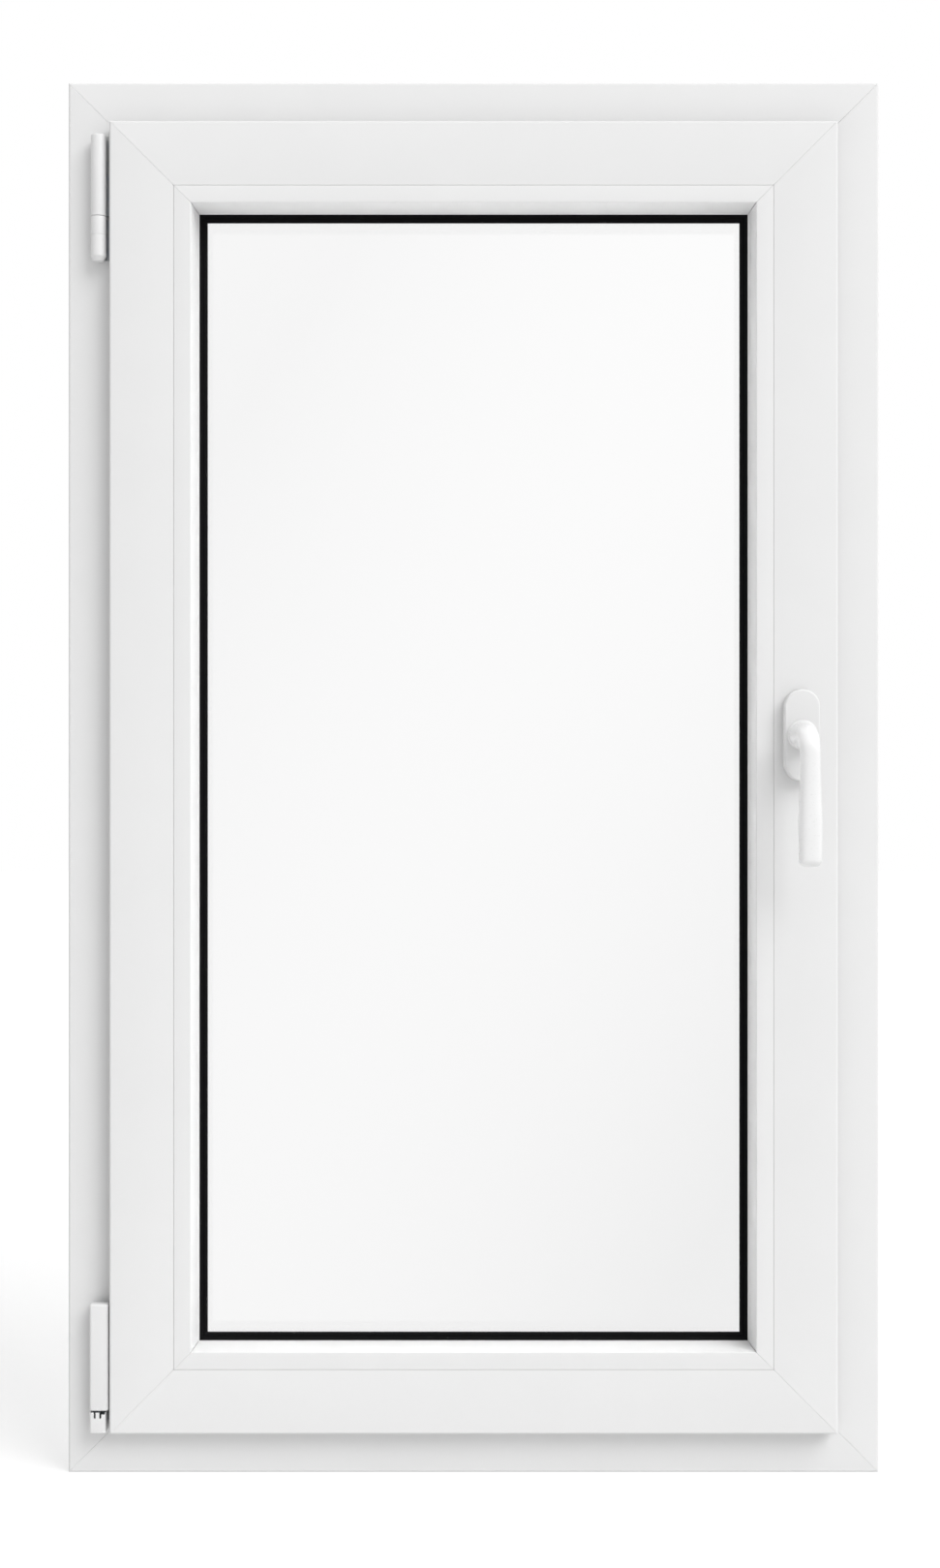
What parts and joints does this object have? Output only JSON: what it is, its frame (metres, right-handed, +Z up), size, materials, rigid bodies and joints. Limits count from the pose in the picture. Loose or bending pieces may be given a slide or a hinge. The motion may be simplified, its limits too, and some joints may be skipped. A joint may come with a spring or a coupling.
{
  "type": "tilt-and-turn casement window",
  "caption": "White tilt-and-turn casement window with double glazing, lever handle, side hinges, stay arm and locking drive gear.",
  "frame": {"origin": "middle of the fixed frame's bottom face", "axes": "+X right seen from the room, +Y out to the weather side, +Z up; the sash opens towards -Y"},
  "size_m": [0.7, 0.1454, 1.2],
  "materials": {
    "white_profile": "smooth extruded white PVC, satin gloss",
    "white_cover": "moulded white plastic, satin",
    "white_lacquer": "white powder coated cast aluminium",
    "zinc_steel": "silver zinc plated pressed steel",
    "bright_steel": "bright zinc plated turned steel",
    "black_seal": "black extruded EPDM",
    "sealant": "black polysulphide",
    "spacer": "mill aluminium box spacer",
    "glass": "clear float glass",
    "grey_nylon": "moulded glass filled nylon"
  },
  "bodies": {
    "frame": {"frame_jamb_hinge_side": "white_profile", "frame_jamb_lock_side": "white_profile", "frame_head": "white_profile", "frame_sill": "white_profile", "frame_reinforcements": "zinc_steel", "frame_weather_gasket": "black_seal", "drainage_caps": "white_cover", "strikers": "zinc_steel", "tilt_striker": "zinc_steel", "striker_screws": "bright_steel", "corner_bearing": "zinc_steel", "corner_bearing_cap": "white_cover", "stay_bearing": "zinc_steel", "stay_bearing_pin": "bright_steel", "stay_bearing_cap": "white_cover", "bearing_screws": "bright_steel"},
    "swivel": {"pivot_cup_liner": "grey_nylon"},
    "sash": {"sash_stile_hinge_side": "white_profile", "sash_stile_lock_side": "white_profile", "sash_top_rail": "white_profile", "sash_bottom_rail": "white_profile", "sash_reinforcements": "zinc_steel", "glazing_bead_left": "white_profile", "glazing_bead_right": "white_profile", "glazing_bead_top": "white_profile", "glazing_bead_bottom": "white_profile", "glass_pane_room": "glass", "glass_pane_weather": "glass", "glass_spacer": "spacer", "glass_edge_sealant": "sealant", "glazing_gasket_room": "black_seal", "glazing_gasket_weather": "black_seal", "overlap_gasket": "black_seal", "glazing_blocks": "grey_nylon", "pivot_ball_pin": "bright_steel", "corner_hinge": "zinc_steel", "corner_hinge_cover": "white_cover", "corner_hinge_screws": "bright_steel", "faceplate_screws": "bright_steel", "lock_faceplate": "zinc_steel", "stay_rail": "zinc_steel", "bottom_faceplate": "zinc_steel", "corner_drives": "zinc_steel", "gearbox_case": "zinc_steel", "handle_base": "grey_nylon", "handle_cover": "white_cover", "handle_screws": "bright_steel"},
    "stay_arm": {"stay_arm": "zinc_steel", "stay_arm_stud": "bright_steel", "stay_arm_cover": "white_cover"},
    "handle": {"handle_lever": "white_lacquer", "handle_spindle": "bright_steel", "drive_pinion": "zinc_steel"},
    "side_rod": {"drive_rod_side": "zinc_steel", "side_cams": "bright_steel"},
    "top_rod": {"drive_rod_top": "zinc_steel", "top_cam": "bright_steel"},
    "bottom_rod": {"drive_rod_bottom": "zinc_steel", "tilt_cam": "bright_steel"}
  },
  "joints": [
    {"name": "turn", "type": "hinge", "parent": "frame", "child": "swivel", "pos_m": [-0.3225, -0.044, 0.044], "axis": [0, 0, -1], "range_deg": [0, 90]},
    {"name": "tilt", "type": "hinge", "parent": "swivel", "child": "sash", "pos_m": [-0.3225, -0.044, 0.044], "axis": [1, 0, 0], "range_deg": [0, 6.5]},
    {"name": "stay_swing", "type": "hinge", "parent": "swivel", "child": "stay_arm", "pos_m": [-0.3225, -0.044, 1.151], "axis": [0, 0, -1], "range_deg": [0, 23.5]},
    {"name": "handle_turn", "type": "hinge", "parent": "sash", "child": "handle", "pos_m": [0.28, -0.1, 0.636], "axis": [0, 1, 0], "range_deg": [0, 180]},
    {"name": "side_rod_slide", "type": "slide", "parent": "sash", "child": "side_rod", "axis": [0, 0, -1], "range_m": [0, 0.0361]},
    {"name": "top_rod_slide", "type": "slide", "parent": "sash", "child": "top_rod", "axis": [1, 0, 0], "range_m": [0, 0.0361]},
    {"name": "bottom_rod_slide", "type": "slide", "parent": "sash", "child": "bottom_rod", "axis": [-1, 0, 0], "range_m": [0, 0.0361]}
  ],
  "couplings": [
    {"joint": "stay_swing", "follows": "tilt", "ratio": 3.52},
    {"joint": "side_rod_slide", "follows": "handle_turn", "m_per_rad": 0.011459},
    {"joint": "top_rod_slide", "follows": "handle_turn", "m_per_rad": 0.011459},
    {"joint": "bottom_rod_slide", "follows": "handle_turn", "m_per_rad": 0.011459}
  ]
}
